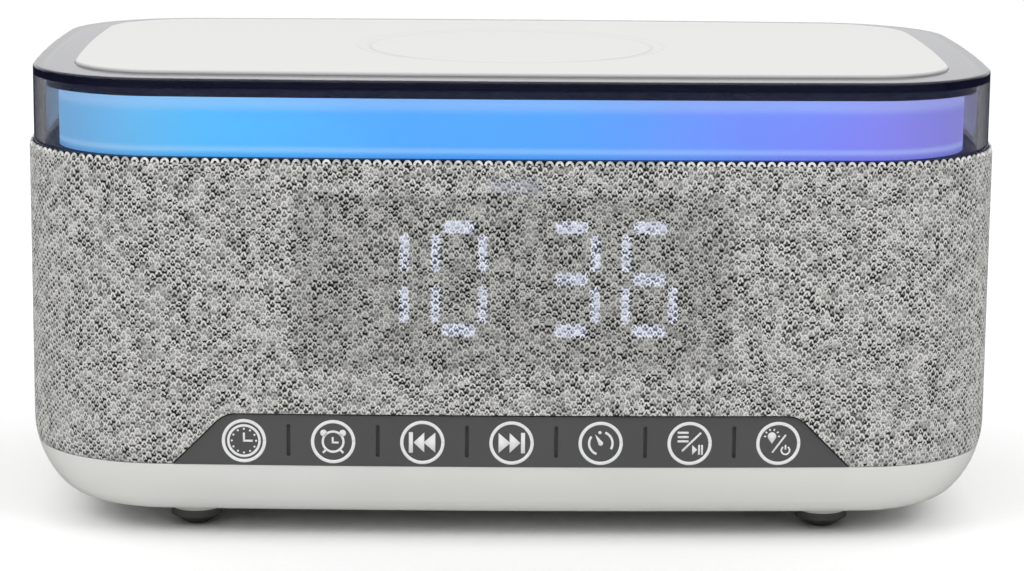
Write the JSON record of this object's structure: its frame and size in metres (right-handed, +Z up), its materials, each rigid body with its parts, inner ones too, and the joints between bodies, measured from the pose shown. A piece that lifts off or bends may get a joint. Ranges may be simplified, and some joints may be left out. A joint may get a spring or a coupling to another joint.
{
  "type": "talking clock",
  "caption": "Bedside clock with a charging plate on top, a lit band, a knitted sleeve over a glowing display, a strip of round keys and rubber feet.",
  "frame": {"origin": "centre of the footprint, on the ground under the feet", "axes": "+X to the object's right as seen from the front, +Y to the back, +Z up; the front faces -Y"},
  "size_m": [0.18, 0.1084, 0.086],
  "materials": {
    "base_plastic": "satin",
    "chassis_plastic": "matte",
    "knit": "knitted, marled grey",
    "key_plastic": "satin",
    "window_plastic": "smoked",
    "digit_plastic": "black with milky white segments",
    "board": "solder mask",
    "ribbon": "flexible film",
    "switch_plastic": "matte",
    "chips": "moulded",
    "steel": "plated",
    "lead_plastic": "insulated wire",
    "carrier_plastic": "matte",
    "milky_plastic": "milky, lit from inside",
    "lamp_plastic": "clear lens",
    "cover_plastic": "smoked clear",
    "plate_plastic": "satin white",
    "copper": "enamelled copper",
    "ferrite": "sintered",
    "speaker_steel": "black",
    "gasket_foam": "foam",
    "surround_rubber": "matte",
    "cone_paper": "pressed paper",
    "foot_rubber": "matte"
  },
  "bodies": {
    "housing": {"base_shell": "base_plastic", "chassis": "chassis_plastic", "knit_sleeve": "knit", "key_strip": "key_plastic", "display_window": "window_plastic", "digit_block": "digit_plastic", "display_board": "board", "display_ribbon": "ribbon", "key_board": "board", "switch_bodies": "switch_plastic", "main_board": "board", "main_board_parts": "chips", "cell_holder": "switch_plastic", "backup_cell": "steel", "speaker_leads": "lead_plastic", "back_panel": "key_plastic", "power_inlet": "steel", "light_carrier": "carrier_plastic", "light_guide": "milky_plastic", "lamp_strip": "ribbon", "lamps": "lamp_plastic", "top_cover": "cover_plastic", "charging_plate": "plate_plastic", "charging_coil": "copper", "coil_shield": "ferrite", "charger_board": "board", "charger_parts": "chips", "base_screws": "steel", "board_screws": "steel", "speaker_screws": "steel", "carrier_screws": "steel", "speaker_frame_left": "speaker_steel", "speaker_magnet_left": "ferrite", "speaker_gasket_left": "gasket_foam", "speaker_surround_left": "surround_rubber", "speaker_frame_right": "speaker_steel", "speaker_magnet_right": "ferrite", "speaker_gasket_right": "gasket_foam", "speaker_surround_right": "surround_rubber", "foot_pad_front_left": "foot_rubber", "foot_pad_front_right": "foot_rubber", "foot_pad_back_left": "foot_rubber", "foot_pad_back_right": "foot_rubber"},
    "clock_key_body": {"clock_key": "key_plastic", "clock_key_plunger": "switch_plastic"},
    "alarm_key_body": {"alarm_key": "key_plastic", "alarm_key_plunger": "switch_plastic"},
    "previous_key_body": {"previous_key": "key_plastic", "previous_key_plunger": "switch_plastic"},
    "next_key_body": {"next_key": "key_plastic", "next_key_plunger": "switch_plastic"},
    "timer_key_body": {"timer_key": "key_plastic", "timer_key_plunger": "switch_plastic"},
    "mode_key_body": {"mode_key": "key_plastic", "mode_key_plunger": "switch_plastic"},
    "light_key_body": {"light_key": "key_plastic", "light_key_plunger": "switch_plastic"},
    "speaker_cone_left_body": {"speaker_cone_left": "cone_paper"},
    "speaker_cone_right_body": {"speaker_cone_right": "cone_paper"}
  },
  "joints": [
    {"name": "clock_key_press", "type": "slide", "parent": "housing", "child": "clock_key_body", "axis": [0, 1, 0], "range_m": [0, 0.0004], "stiffness_N_per_m": 2500},
    {"name": "alarm_key_press", "type": "slide", "parent": "housing", "child": "alarm_key_body", "axis": [0, 1, 0], "range_m": [0, 0.0004], "stiffness_N_per_m": 2500},
    {"name": "previous_key_press", "type": "slide", "parent": "housing", "child": "previous_key_body", "axis": [0, 1, 0], "range_m": [0, 0.0004], "stiffness_N_per_m": 2500},
    {"name": "next_key_press", "type": "slide", "parent": "housing", "child": "next_key_body", "axis": [0, 1, 0], "range_m": [0, 0.0004], "stiffness_N_per_m": 2500},
    {"name": "timer_key_press", "type": "slide", "parent": "housing", "child": "timer_key_body", "axis": [0, 1, 0], "range_m": [0, 0.0004], "stiffness_N_per_m": 2500},
    {"name": "mode_key_press", "type": "slide", "parent": "housing", "child": "mode_key_body", "axis": [0, 1, 0], "range_m": [0, 0.0004], "stiffness_N_per_m": 2500},
    {"name": "light_key_press", "type": "slide", "parent": "housing", "child": "light_key_body", "axis": [0, 1, 0], "range_m": [0, 0.0004], "stiffness_N_per_m": 2500},
    {"name": "speaker_cone_left_stroke", "type": "slide", "parent": "housing", "child": "speaker_cone_left_body", "axis": [-1, 0, 0], "range_m": [-0.001, 0.001], "stiffness_N_per_m": 1000},
    {"name": "speaker_cone_right_stroke", "type": "slide", "parent": "housing", "child": "speaker_cone_right_body", "axis": [1, 0, 0], "range_m": [-0.001, 0.001], "stiffness_N_per_m": 1000}
  ]
}
